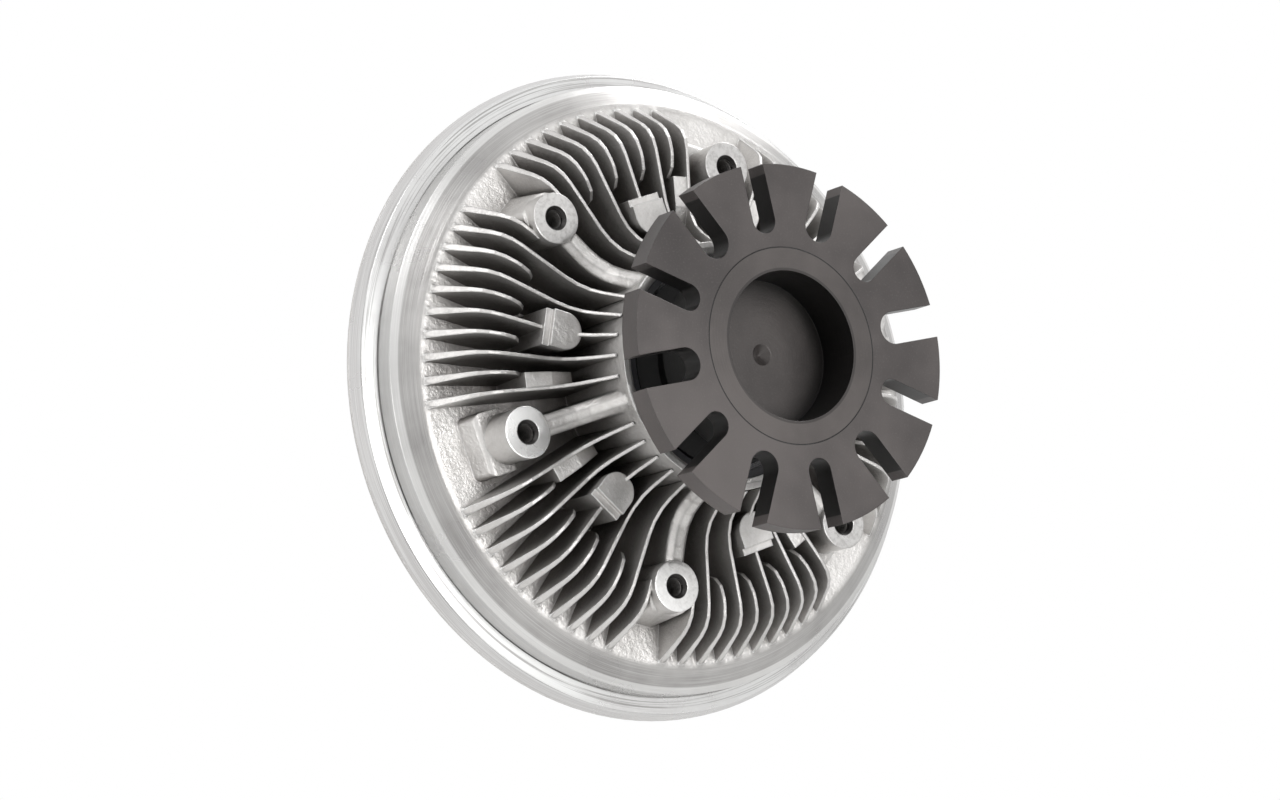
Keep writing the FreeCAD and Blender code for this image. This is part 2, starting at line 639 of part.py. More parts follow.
sectors = count("sectors")
sector_angle = 360.0 / sectors
half_sector = sector_angle / 2
pitch = val("fin_pitch")
wide_ledges = range(0, sectors, 2)
casting = []
holes = []
for i in range(sectors):
    start = val("housing_turn") + sector_angle * i
    casting += [turn_to(boss, start), turn_to(spoke, start), turn_to(pad, start + half_sector)]
    casting.append(turn_to(ledge if i in wide_ledges else gusset, start))
    holes += [turn_to(boss_hole, start), turn_to(boss_mouth, start)]
    for k in (-4, -2, 0, 2, 4):
        casting.append(turn_to(long_fin, start + half_sector + k * pitch))
    for k in (-3, -1, 1, 3):
        casting.append(turn_to(short_fin, start + half_sector + k * pitch))
    for k, owner in ((-5, i), (5, (i + 1) % sectors)):
        if owner not in wide_ledges:
            casting.append(turn_to(side_fin, start + half_sector + k * pitch))
    for k, owner in ((-3.5, i), (3.5, (i + 1) % sectors)):
        if owner in wide_ledges:
            casting.append(turn_to(ejector_flat, start + half_sector + k * pitch))
housing = turned(housing_outside).fuse(casting).removeSplitter()
feature("rear_housing", housing.cut([turned(housing_inside)] + holes))

# rotor and its bolt
disc_start = "(" + chamber + " + land_tall + work_gap)"
disc_end = "(" + disc_start + " + rotor_thick)"
rotor_edge = "land_first_d/2 + land_pitch*(land_count - 0.5) + land_width"
rotor = turned_body("rotor", [
    ("rotor_seat_d/2", brg_end),
    ("rotor_hub_d/2", brg_end),
    ("rotor_hub_d/2", "rotor_web_station"),
    ("rotor_web_d/2", "rotor_web_station"),
    ("rotor_web_d/2", disc_start),
] + lands("(land_first_d + land_pitch)", "land_count", disc_start, chamber + " + work_gap")[:-1] + [
    (rotor_edge, disc_end),
    ("rotor_recess_d/2", disc_end),
    ("rotor_recess_d/2", "rotor_hub_face"),
    ("rotor_seat_d/2", "rotor_hub_face"),
])
flow_sketch = new_sketch(rotor, "flow_hole_outline", "XZ_Plane")
flow_sketch.addGeometry(Part.Circle(Vector(0, val("rotor_flow_circle/2"), 0), Vector(0, 0, 1), val("rotor_flow_d/2")))
flow_sketch.addConstraint(Sketcher.Constraint("Diameter", 0, val("rotor_flow_d")))
flow_sketch.setExpression("Constraints[0]", linked("rotor_flow_d"))
place_point(flow_sketch, 0, 3, "0", "rotor_flow_circle/2")
flow_cut = rotor.newObject("PartDesign::Pocket", "flow_hole_cut")
flow_cut.Profile = flow_sketch
flow_cut.Type = "ThroughAll"
flow_cut.Midplane = True
doc.recompute()
flow_row = rotor.newObject("PartDesign::PolarPattern", "flow_hole_row")
flow_row.Originals = [flow_cut]
flow_row.Axis = (plane_of(rotor, "Y_Axis"), [""])
flow_row.Angle = 360.0
flow_row.setExpression("Occurrences", linked("rotor_flow_count"))
rotor.Tip = flow_row
doc.recompute()


def hexagon(flats, start, end, reach=0.0):
    """A hexagonal prism along the clutch axis."""
    corner = flats / math.sqrt(3)
    spots = []
    for i in range(6):
        angle = math.radians(60 * i)
        spots.append(Vector(corner * math.sin(angle), start, reach + corner * math.cos(angle)))
    return Part.Face(Part.makePolygon(spots + spots[:1])).extrude(AXIS * (end - start))


head_start = val("rotor_hub_face")
bolt_head = hexagon(val("bolt_head_w"), head_start, head_start + val("bolt_head_tall"))
feature("rotor_bolt", bolt_head.fuse(rod(val("bolt_d"), val(shaft_end + " - bolt_depth"), head_start)))

# front cover: turned form, cooling fins and the passages of the fluid
plate_top = "(cover_station + plate_gap + plate_thick)"
bush_start = "(nose_station + bush_proud - bush_long)"
cover_form = [
    ("rim_d/2", "cover_station"),
    ("rim_d/2", "rim_step"),
    ("step_d/2", "rim_step + step_slope"),
    ("cover_d/2", "cover_edge_start"),
    ("cover_d/2", "cover_edge_end"),
    ("cover_floor_d/2", "cover_floor"),
    ("plate_d/2 - reservoir_ledge + dome_wall", "cover_floor"),
    ("plate_d/2 - reservoir_ledge + dome_wall", "dome_station"),
    ("nose_d/2", "dome_station"),
    ("nose_d/2", "nose_station"),
    ("bush_d/2", "nose_station"),
    ("bush_d/2", bush_start),
    ("pin_d/2 + pin_gap", bush_start),
    ("pin_d/2 + pin_gap", "reservoir_end"),
    ("plate_d/2 - reservoir_ledge", "reservoir_end"),
    ("plate_d/2 - reservoir_ledge", plate_top),
    ("plate_d/2 + plate_gap", plate_top),
    ("plate_d/2 + plate_gap", "cover_station"),
]
cover_sunk = val("cover_floor") - 1.5
dome_sunk = val("dome_station") - 1.5
dome_shoulder = val("plate_d/2 - reservoir_ledge + dome_wall") - 1
cover_crest = val("cover_fin_station")


def cover_fin(inner, foot_line):
    corners = [
        (val("cover_fin_d/2"), val("cover_floor")),
        (val("cover_fin_slope_d/2"), cover_crest),
        (inner, cover_crest),
    ] + foot_line + [(val("cover_fin_d/2") - 1, cover_sunk)]
    radii = [0, val("cover_fin_round"), 0] + [0] * (len(foot_line) + 1)
    return tapered_fin(
        corners, radii, cover_crest, cover_sunk, val("cover_fin_top"), val("cover_fin_base"),
        inner - 1, val("cover_fin_d/2") + 1,
    )


long_in = val("cover_fin_in_d/2")
short_cover_in = val("cover_short_in_d/2")
long_cover_fin = cover_fin(long_in, [(long_in, dome_sunk), (dome_shoulder, dome_sunk), (dome_shoulder, cover_sunk)])
short_cover_fin = cover_fin(short_cover_in, [(short_cover_in, cover_sunk)])
cover_fins = []
for i in range(count("cover_fins")):
    fin = short_cover_fin if i % 2 else long_cover_fin
    cover_fins.append(turn_to(fin, val("housing_turn") + 360.0 / count("cover_fins") * (i + 0.17)))

plate_start = val("cover_station + plate_gap")
plate_rivets = []
for i in range(count("plate_rivet_count")):
    rivet = rod(val("plate_rivet_d"), plate_start, plate_start + val("plate_rivet_long"), val("plate_d/2 - plate_rivet_inset"))
    plate_rivets.append(turn_to(rivet, 360.0 / count("plate_rivet_count") * (i + 0.5)))
nose_face = val("nose_station")
base_top = nose_face + val("bracket_thick")
bracket_screws = []
for side in (-1, 1):
    reach = side * val("bracket_screw_reach")
    head = hexagon(val("bracket_screw_head_d"), base_top, base_top + val("bracket_screw_head_tall"), reach)
    bracket_screws.append(head.fuse(rod(val("bracket_screw_d"), base_top - val("bracket_screw_long"), base_top, reach)))
plug_hole = turn_to(rod(val("plug_d"), val("reservoir_end"), val("dome_station"), val("plug_reach")), val("plug_angle"))
wiper_in = val(rotor_edge + " + wiper_gap")
wiper_angle = val("housing_turn")
cover = turned(cover_form).fuse(cover_fins).removeSplitter()
feature("front_cover", cover.cut(plate_rivets + bracket_screws + [plug_hole]))

wiper = block(
    val("wiper_long"), val("cover_station - wiper_tall"), val("cover_station"), wiper_in - 1, val("cavity_d/2"))
wiper = wiper.common(ring(2 * (wiper_in + val("wiper_wide")), 2 * wiper_in,
                          val("cover_station - wiper_tall"), val("cover_station")))
feature("pump_wiper", turn_to(wiper, wiper_angle - math.degrees(val("wiper_long") / wiper_in)))

# intermediate plate, valve lever and its pivot
pivot_z = -val("pivot_reach")
lever_under = val(plate_top + " + lever_gap")
pivot_y = lever_under + val("eye_d/2")
ear_in = val("lever_width/2 + ear_gap")
ears = []
for side in (-1, 1):
    ear = block(val("ear_thick"), val(plate_top), pivot_y + val("eye_d/2"),
                pivot_z - val("eye_d/2"), pivot_z + val("eye_d/2"),
                side * (ear_in + val("ear_thick/2")))
    ears.append(ear)
pivot_long = 2 * (ear_in + val("ear_thick") + 0.4)
pivot = Part.makeCylinder(val("pivot_d/2"), pivot_long, Vector(-pivot_long / 2, pivot_y, pivot_z), ACROSS)
plate = ring(val("plate_d"), 0, plate_start, val(plate_top))
port = rod(val("port_d"), plate_start, val(plate_top), val("port_reach"))
feature("intermediate_plate", plate.cut([port] + plate_rivets).fuse(ears).cut(pivot))
feature("plate_rivets", Part.makeCompound(plate_rivets))
feature("valve_pivot", pivot)
lever_top = lever_under + val("lever_thick")
width = val("lever_width")
lever = block(width, lever_under, lever_top, pivot_z, val("port_reach"))
lever = lever.fuse(rod(val("lever_pad_d"), lever_under, lever_top, val("port_reach")))
eye = Part.makeCylinder(val("eye_d/2"), width, Vector(-width / 2, pivot_y, pivot_z), ACROSS)
eye_hole = Part.makeCylinder(val("pivot_d/2 + pivot_gap"), width, Vector(-width / 2, pivot_y, pivot_z), ACROSS)
feature("valve_lever", lever.fuse(eye).cut(eye_hole).removeSplitter())

# control pin with its bush, and the bimetal strip on its bracket
plain_ring("pin_bush", "pin_d/2 + pin_gap", "bush_d/2", bush_start, "nose_station + bush_proud")
tip_start = "(" + plate_top + " + lever_gap + lever_thick + pin_tip_gap)"
turned_body("control_pin", [
    ("0", tip_start),
    ("pin_tip_d/2", tip_start),
    ("pin_tip_d/2", tip_start + " + pin_shoulder"),
    ("pin_d/2", tip_start + " + pin_shoulder"),
    ("pin_d/2", "nose_station + strip_rise"),
    ("0", "nose_station + strip_rise"),
])
strip_start = nose_face + val("strip_rise")
strip_end = strip_start + val("strip_thick")
half_strip = val("strip_long/2")
feature("bimetal_strip", block(val("strip_width"), strip_start, strip_end, -half_strip, half_strip))
half_bracket = val("bracket_long/2")
thick = val("bracket_thick")
bracket = block(val("bracket_width"), nose_face, base_top, -half_bracket, half_bracket)
for start in (-half_bracket, half_bracket - thick):
    wall = block(val("bracket_width"), nose_face, nose_face + val("bracket_tall"), start, start + thick)
    play = val("window_play")
    window = block(val("strip_width") + 2 * play, strip_start - play, strip_end + val("pin_travel") + play,
                   start, start + thick)
    bracket = bracket.fuse(wall).cut(window)
bracket = bracket.cut([rod(val("bracket_hole_d"), nose_face, base_top)] + bracket_screws)
feature("bimetal_bracket", bracket.removeSplitter())
feature("bracket_screws", Part.makeCompound(bracket_screws))

# fill plug
dome_face = val("dome_station")
plug_reach = val("plug_reach")
plug = hexagon(val("plug_head_d"), dome_face, dome_face + val("plug_head_tall"), plug_reach)
plug = plug.fuse(rod(val("plug_d"), val("reservoir_end"), dome_face, plug_reach))
feature("fill_plug", turn_to(plug, val("plug_angle")))

doc.recompute()
os.makedirs("parts", exist_ok=True)
for node in nodes:
    shape = node.Shape
    good = "Invalid" not in node.State and "Error" not in node.State and not shape.isNull() and shape.isValid()
    if not good:
        raise RuntimeError("%s is not a sound solid" % node.Label)
    print(node.Label, len(shape.Solids), "solids", round(shape.Volume), "mm3")
    shape.exportStep("parts/%s.step" % node.Label)
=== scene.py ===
import bpy
import bmesh
from math import sin, cos, pi, radians
from mathutils import Vector, Matrix


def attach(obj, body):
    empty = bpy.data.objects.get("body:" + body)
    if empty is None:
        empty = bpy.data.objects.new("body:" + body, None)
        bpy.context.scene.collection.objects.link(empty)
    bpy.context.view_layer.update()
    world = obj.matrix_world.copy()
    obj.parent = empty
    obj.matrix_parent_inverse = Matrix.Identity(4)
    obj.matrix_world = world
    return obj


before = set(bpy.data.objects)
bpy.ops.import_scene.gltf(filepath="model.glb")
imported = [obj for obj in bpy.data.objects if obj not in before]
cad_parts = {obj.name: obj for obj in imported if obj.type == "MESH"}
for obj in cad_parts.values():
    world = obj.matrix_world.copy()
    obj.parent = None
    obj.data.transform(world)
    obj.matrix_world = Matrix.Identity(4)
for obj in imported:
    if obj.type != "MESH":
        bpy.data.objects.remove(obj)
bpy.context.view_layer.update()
scene = bpy.context.scene
scene.view_settings.view_transform = "Standard"
mm = 0.001                   # the scene is in metres
print("clutch: frame loaded with", len(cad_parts), "pieces")


camera = {
    "azimuth": -33.515,      # degrees round the clutch, seen from the flange side
    "elevation": -11.13,     # a little from below
    "roll": -0.786,
    "distance": 1417.474 * mm,
    "aside": (-55.002 * mm, -19.711 * mm),
    "lens": 110.26,
    "sensor": 36.0,
    "near": 0.05,
    "far": 50.0,
}


def placeCamera(c):
    a, e, r = radians(c["azimuth"]), radians(c["elevation"]), radians(c["roll"])
    back = Vector((sin(a) * cos(e), -cos(a) * cos(e), sin(e)))
    level = Vector((0, 0, 1)).cross(back).normalized()
    upright = back.cross(level)
    right = level * cos(r) + upright * sin(r)
    up = upright * cos(r) - level * sin(r)
    spot = right * c["aside"][0] + up * c["aside"][1] + back * c["distance"]
    data = bpy.data.cameras.new("clutchCamera")
    data.lens = c["lens"]
    data.sensor_width = c["sensor"]
    data.clip_start = c["near"]
    data.clip_end = c["far"]
    obj = bpy.data.objects.new("clutchCamera", data)
    turn = Matrix((right, up, back)).transposed().to_4x4()
    obj.matrix_world = Matrix.Translation(spot) @ turn
    scene.collection.objects.link(obj)
    scene.camera = obj
    return right, up, back


viewRight, viewUp, viewBack = placeCamera(camera)
print("clutch: camera placed")


def startFinish(name, colour, metal, rough):
    paint = bpy.data.materials.new(name)
    paint.use_nodes = True
    shader = paint.node_tree.nodes["Principled BSDF"]
    shader.inputs["Base Color"].default_value = (*colour, 1)
    shader.inputs["Metallic"].default_value = metal
    shader.inputs["Roughness"].default_value = rough
    return paint, paint.node_tree, shader


def node(tree, kind, **given):
    made = tree.nodes.new("ShaderNode" + kind)
    for key, value in given.items():
        setattr(made, key, value)
    return made


def feed(tree, socket, value):
    if isinstance(value, tuple):
        socket.default_value = (*value, 1)               # an opaque colour
    elif isinstance(value, (int, float)):
        socket.default_value = value
    else:
        tree.links.new(value, socket)


def sums(tree, operation, a, b=0.0):
    made = node(tree, "Math", operation=operation)
    feed(tree, made.inputs[0], a)
    feed(tree, made.inputs[1], b)
    return made.outputs["Value"]


def times(tree, a, b):
    return sums(tree, "MULTIPLY", a, b)


def minus(tree, a, b):
    return sums(tree, "SUBTRACT", a, b)


def larger(tree, a, b):
    return sums(tree, "MAXIMUM", a, b)


def awayFrom(tree, value, place):
    return sums(tree, "ABSOLUTE", minus(tree, value, place))


def length(tree, a, b):
    return sums(tree, "SQRT", sums(tree, "ADD", times(tree, a, a), times(tree, b, b)))


# runs softly from outLow to outHigh as the value goes from low to high, which may be the smaller of the two
def between(tree, value, low, high, outLow=0.0, outHigh=1.0):
    made = node(tree, "MapRange", interpolation_type="SMOOTHSTEP")
    feed(tree, made.inputs["Value"], value)
    for key, number in (("From Min", low), ("From Max", high), ("To Min", outLow), ("To Max", outHigh)):
        made.inputs[key].default_value = number
    return made.outputs["Result"]


def blendNumbers(tree, amount, a, b):
    made = node(tree, "Mix")
    feed(tree, made.inputs[0], amount)
    feed(tree, made.inputs[2], a)
    feed(tree, made.inputs[3], b)
    return made.outputs[0]


def blendColours(tree, amount, a, b):
    made = node(tree, "Mix", data_type="RGBA")
    feed(tree, made.inputs[0], amount)
    feed(tree, made.inputs[6], a)
    feed(tree, made.inputs[7], b)
    return made.outputs[2]


def grain(tree, place, scale, detail, rough):
    made = node(tree, "TexNoise")
    made.inputs["Scale"].default_value = scale
    made.inputs["Detail"].default_value = detail
    made.inputs["Roughness"].default_value = rough
    tree.links.new(place, made.inputs["Vector"])
    return made.outputs["Fac"]


def dotProduct(tree, a):
    made = node(tree, "VectorMath", operation="DOT_PRODUCT")
    tree.links.new(a, made.inputs[0])
    return made


studio = {
    "floorHeight": -0.42,
    "floorSize": 9.0,
    "floorColour": (0.86, 0.86, 0.855),
    "floorPatches": 0.97,    # share of that colour in its darker patches
    "floorRough": 0.75,
    "worldTop": 0.80,        # light from above and from the fan side
    "worldLow": 0.40,
    "worldUp": (-0.12, 0.25, 0.96),
    "worldSpread": (-0.8, 0.8),
    "lamps": [
        # name, place seen from the camera (right, up, towards it), size, watts
        ("keyLamp", (-0.8, 1.35, 0.75), 0.7, 9.5),
        ("topLamp", (0.76, 1.23, -0.67), 0.7, 8.5),
        ("sideLamp", (1.0, 0.25, 1.05), 0.5, 7.5),
        ("leftLamp", (-1.2, -0.05, 0.8), 0.4, 2.6),
    ],
    "lampTarget": (0, 0.06, 0),
}


def paleFloor(s):
    mesh = bpy.data.meshes.new("paleFloor")
    h = s["floorSize"] / 2
    corners = [(-h, -h, 0), (h, -h, 0), (h, h, 0), (-h, h, 0)]
    mesh.from_pydata(corners, [], [(0, 1, 2, 3)])
    obj = bpy.data.objects.new("paleFloor", mesh)
    obj.location = (0, 0, s["floorHeight"])
    scene.collection.objects.link(obj)
    paint, tree, shader = startFinish("paleFloor", s["floorColour"], 0.0, s["floorRough"])
    patches = node(tree, "TexNoise")
    patches.inputs["Scale"].default_value = 3.0
    ramp = node(tree, "ValToRGB")
    ramp.color_ramp.elements[0].color = [s["floorPatches"] * v for v in s["floorColour"]] + [1]
    ramp.color_ramp.elements[1].color = (*s["floorColour"], 1)
    tree.links.new(patches.outputs["Fac"], ramp.inputs["Fac"])
    tree.links.new(ramp.outputs["Color"], shader.inputs["Base Color"])
    mesh.materials.append(paint)


def softWorld(s):
    world = bpy.data.worlds.new("studioWorld")
    scene.world = world
    world.use_nodes = True
    tree = world.node_tree
    height = dotProduct(tree, node(tree, "TexCoord").outputs["Generated"])
    height.inputs[1].default_value = s["worldUp"]
    glow = between(tree, height.outputs["Value"], *s["worldSpread"], s["worldLow"], s["worldTop"])
    # seen directly, mirrored or through glass it is plain white
    ray = node(tree, "LightPath").outputs
    seen = larger(tree, ray["Is Camera Ray"], ray["Is Transmission Ray"])
    seen = larger(tree, seen, ray["Is Glossy Ray"])
    background = tree.nodes["Background"]
    background.inputs["Color"].default_value = (1, 1, 1, 1)
    tree.links.new(blendNumbers(tree, seen, glow, 1.0), background.inputs["Strength"])


def softLamps(s):
    target = Vector(s["lampTarget"])
    for name, place, size, watts in s["lamps"]:
        data = bpy.data.lights.new(name, "AREA")
        data.shape = "SQUARE"
        data.size = size
        data.energy = watts
        obj = bpy.data.objects.new(name, data)
        spot = viewRight * place[0] + viewUp * place[1] + viewBack * place[2]
        obj.location = spot
        obj.rotation_euler = (target - spot).to_track_quat("-Z", "Y").to_euler()
        scene.collection.objects.link(obj)


paleFloor(studio)
softWorld(studio)
softLamps(studio)
print("clutch: studio lit")


# the part's own frame in metres, and the distance from the clutch's axis
def clutchCoords(tree):
    place = node(tree, "TexCoord").outputs["Object"]
    split = node(tree, "SeparateXYZ")
    tree.links.new(place, split.inputs[0])
    x, y, z = split.outputs
    return {"place": place, "x": x, "y": y, "z": z, "radius": length(tree, x, z)}


# one on faces square to the clutch's axis, zero on faces along it
def facingAxis(tree):
    split = node(tree, "SeparateXYZ")
    tree.links.new(node(tree, "TexCoord").outputs["Normal"], split.inputs[0])
    return sums(tree, "ABSOLUTE", split.outputs[1])


# one on open faces, zero deep between walls; where it is low, shade is painted into the colour
def openness(tree, look):
    occlusion = node(tree, "AmbientOcclusion", samples=8)
    occlusion.inputs["Distance"].default_value = look["depth"]
    return between(tree, occlusion.outputs["AO"], look["shut"], look["wide"])


# runs fine across the turning marks and slow round the axis
def turnedCoords(tree, here, fine=2600.0, slow=3.0):
    angle = sums(tree, "ARCTAN2", here["x"], here["z"])
    across = sums(tree, "ADD", here["radius"], here["y"])
    join = node(tree, "CombineXYZ")
    feed(tree, join.inputs[0], times(tree, across, fine))
    feed(tree, join.inputs[1], times(tree, sums(tree, "SINE", angle), slow))
    feed(tree, join.inputs[2], times(tree, sums(tree, "COSINE", angle), slow))
    return join.outputs[0]


# heights are (height socket, depth in metres), coarse first
def bumpChain(tree, shader, heights, normal):
    for height, depth in heights:
        made = node(tree, "Bump")
        made.inputs["Distance"].default_value = depth
        made.inputs["Strength"].default_value = 1.0
        tree.links.new(height, made.inputs["Height"])
        tree.links.new(normal, made.inputs["Normal"])
        normal = made.outputs["Normal"]
    tree.links.new(normal, shader.inputs["Normal"])


bossRing = {
    "count": 6,
    "circle": 82.2 * mm,
    "firstAngle": 9.0,       # degrees round from the top
}

casting = {
    "name": "castAluminium",
    "metal": 0.7,
    "cast": (0.66, 0.645, 0.63),
    "castDark": (0.52, 0.505, 0.49),
    "castLight": (0.72, 0.71, 0.70),
    # painted shade deep between the fins
    "valleyShade": (0.14, 0.128, 0.119),
    "crest": (0.40, 0.39, 0.38),
    # also the painted highlight on edges
    "bright": (0.92, 0.92, 0.91),
    "dish": (0.385, 0.376, 0.369),
    "dishDark": (0.27, 0.262, 0.257),
    "rim": (0.68, 0.68, 0.675),
    "rimDark": (0.60, 0.595, 0.59),
    "outer": (0.68, 0.675, 0.67),
    "outerDark": (0.52, 0.51, 0.505),
    "faced": (0.58, 0.57, 0.56),
    "facedDark": (0.44, 0.43, 0.42),
    # painted light on the bosses towards one side
    "facedPaintedLight": (0.95, 0.95, 0.94),
    # painted shade in the tapped holes
    "hole": (0.03, 0.028, 0.027),
    "castRough": 0.36,
    "workedRough": 0.28,
    # the rounded normal against the flat one, where 1 is no turn; the first pair places the painted
    # highlight on the very edges
    "highlightTurn": (0.86, 0.73),
    "crestTurn": (0.998, 0.96),
    # how closed in a valley is where the painted shade is darkest, how open a face is where it ends, and how
    # far off walls count
    "shut": 0.03,
    "wide": 0.72,
    "depth": 16.0 * mm,
    "edge": 0.7 * mm,                # how far most edges are rounded
    "spokeEdge": 2.4 * mm,           # and those of the spokes
    "creaseEdge": 3.5 * mm,          # and of the crease at the foot of the dish
    "crease": 108.6 * mm,            # that crease's radius
    "creaseWide": 4.0 * mm,
    "spokeTo": 78.0 * mm,
    "spokeHalf": 5.0 * mm,
    "bandFrom": 114.5 * mm,
    "rimFrom": 117.45 * mm,
    "rimTo": 103.3 * mm,             # a height, where rim and dish end
    "outerFrom": 123.5 * mm,
    "seam": (117.2 * mm, 96.2 * mm),     # radius and height
    "bossFace": 57.8 * mm,           # heights of the flat faces
    "padFace": 56.8 * mm,
    "paintedLightSide": (-0.8, -0.6),      # x and z of the side towards which the faced bosses get painted light
    "paintedLightFrom": 46.0 * mm,
    "paintedLightTo": 80.0 * mm,
    "holeRadius": 4.5 * mm,
    "holeTo": 79.0 * mm,
    # relief of the cast skin and of the scratches
    "waveDepth": 0.6 * mm,
    "skinDepth": 0.3 * mm,
    "markDepth": 0.06 * mm,
}


# across the nearest spoke, and out from its fan boss's axis
def nearestBoss(tree, here, ring):
    sector = 2 * pi / ring["count"]
    angle = minus(tree, sums(tree, "ARCTAN2", here["x"], here["z"]), radians(ring["firstAngle"]))
    whole = sums(tree, "ROUND", sums(tree, "DIVIDE", angle, sector))
    near = minus(tree, angle, times(tree, whole, sector))
    across = times(tree, here["radius"], sums(tree, "SINE", near))
    out = minus(tree, times(tree, here["radius"], sums(tree, "COSINE", near)), ring["circle"])
    return across, out


# the crease at the foot of the dish and the spokes are cast with wide radii, other edges with small ones
def roundedEdges(tree, here, across, look):
    crease = between(tree, awayFrom(tree, here["radius"], look["crease"]),
                     look["creaseWide"], look["creaseWide"] * 0.3, look["edge"], look["creaseEdge"])
    half = look["spokeHalf"]
    onSpoke = between(tree, sums(tree, "ABSOLUTE", across), half + 0.5 * mm, half - 0.5 * mm)
    inside = between(tree, here["radius"], look["spokeTo"], look["spokeTo"] - 2.0 * mm)
    spoke = times(tree, times(tree, onSpoke, inside), look["spokeEdge"])
    soft = node(tree, "Bevel", samples=8)
    feed(tree, soft.inputs["Radius"], larger(tree, crease, spoke))
    turn = dotProduct(tree, soft.outputs["Normal"])
    tree.links.new(node(tree, "NewGeometry").outputs["Normal"], turn.inputs[1])
    return soft.outputs["Normal"], turn.outputs["Value"]


# where a tool has been: the rim, the dish, and the flat faces of bosses, pads and tower
def workedPlaces(tree, here, look):
    radius, y = here["radius"], here["y"]
    behind = between(tree, y, look["rimTo"] + 0.4 * mm, look["rimTo"])
    rim = times(tree, between(tree, radius, look["rimFrom"] - 0.3 * mm, look["rimFrom"]), behind)
    dish = times(tree, between(tree, radius, look["crease"] - 3.0 * mm, look["crease"] + 2.0 * mm), behind)
    facing = between(tree, facingAxis(tree), 0.97, 0.995)
    faces = times(tree, facing, between(tree, y, look["bossFace"] + 0.3 * mm, look["bossFace"] + 0.1 * mm))
    pads = times(tree, faces, between(tree, y, look["padFace"] + 0.3 * mm, look["padFace"] + 0.1 * mm))
    return {"rim": rim, "dish": dish, "faces": minus(tree, faces, times(tree, pads, 0.75))}


# cast skin with random patches and specks, painted shade in the valleys, a greyer tone near edges and a
# painted highlight on them
def castSkinTone(tree, mask, noise, look):
    tone = blendColours(tree, between(tree, noise["patches"], 0.32, 0.7), look["castDark"], look["cast"])
    tone = blendColours(tree, between(tree, noise["specks"], 0.45, 0.75, 0.0, 0.4), tone, look["castLight"])
    # painted shade in the valleys, from ambient occlusion
    tone = blendColours(tree, mask["open"], look["valleyShade"], tone)
    tone = blendColours(tree, times(tree, mask["crests"], mask["open"]), tone, look["crest"])
    # painted highlight along the open edges of crests
    return blendColours(tree, times(tree, mask["edges"], mask["open"]), tone, look["bright"])


# turned, with a lighter band beside the cover
def dishTone(tree, here, noise, look):
    tone = blendColours(tree, between(tree, noise["cloud"], 0.35, 0.68), look["dishDark"], look["dish"])
    tone = blendColours(tree, between(tree, noise["streak"], 0.4, 0.75, 0.0, 0.25), tone, look["bright"])
    band = between(tree, here["radius"], look["bandFrom"], look["bandFrom"] + 0.5 * mm)
    return blendColours(tree, times(tree, band, 0.4), tone, look["bright"])


# scratched, and duller on the cover's outer slope
def rimTone(tree, here, noise, look):
    tone = blendColours(tree, between(tree, noise["cloud"], 0.3, 0.6), look["rimDark"], look["rim"])
    tone = blendColours(tree, between(tree, noise["scratch"], 0.50, 0.62, 0.0, 0.8), tone, look["dishDark"])
    slope = blendColours(tree, between(tree, noise["streak"], 0.4, 0.7), look["outerDark"], look["outer"])
    outer = between(tree, here["radius"], look["outerFrom"], look["outerFrom"] + 0.6 * mm)
    return blendColours(tree, outer, tone, slope)


# speckled, with painted light that makes the bosses brighter towards one side of the clutch
def facedTone(tree, here, look):
    speckled = between(tree, grain(tree, here["place"], 700.0, 3.0, 0.6), 0.4, 0.7)
    tone = blendColours(tree, speckled, look["faced"], look["facedDark"])
    sideX, sideZ = look["paintedLightSide"]
    side = sums(tree, "ADD", times(tree, here["x"], sideX), times(tree, here["z"], sideZ))
    # painted light: lighter on the bosses towards one side
    bright = between(tree, side, look["paintedLightFrom"], look["paintedLightTo"], 0.0, 0.8)
    return blendColours(tree, bright, tone, look["facedPaintedLight"])


# painted shade in the tapped holes, and the dark line where cover and housing meet
def holeShadeAndSeam(tree, here, bossReach, cloud, look):
    hole = times(tree, between(tree, bossReach, look["holeRadius"] + 0.3 * mm, look["holeRadius"]),
                 between(tree, here["y"], look["holeTo"] + 0.5 * mm, look["holeTo"]))
    seamRadius, seamHeight = look["seam"]
    toSeam = length(tree, minus(tree, here["radius"], seamRadius), minus(tree, here["y"], seamHeight))
    seam = times(tree, between(tree, toSeam, 0.5 * mm, 0.2 * mm), between(tree, cloud, 0.38, 0.62, 0.1, 0.7))
    return hole, seam


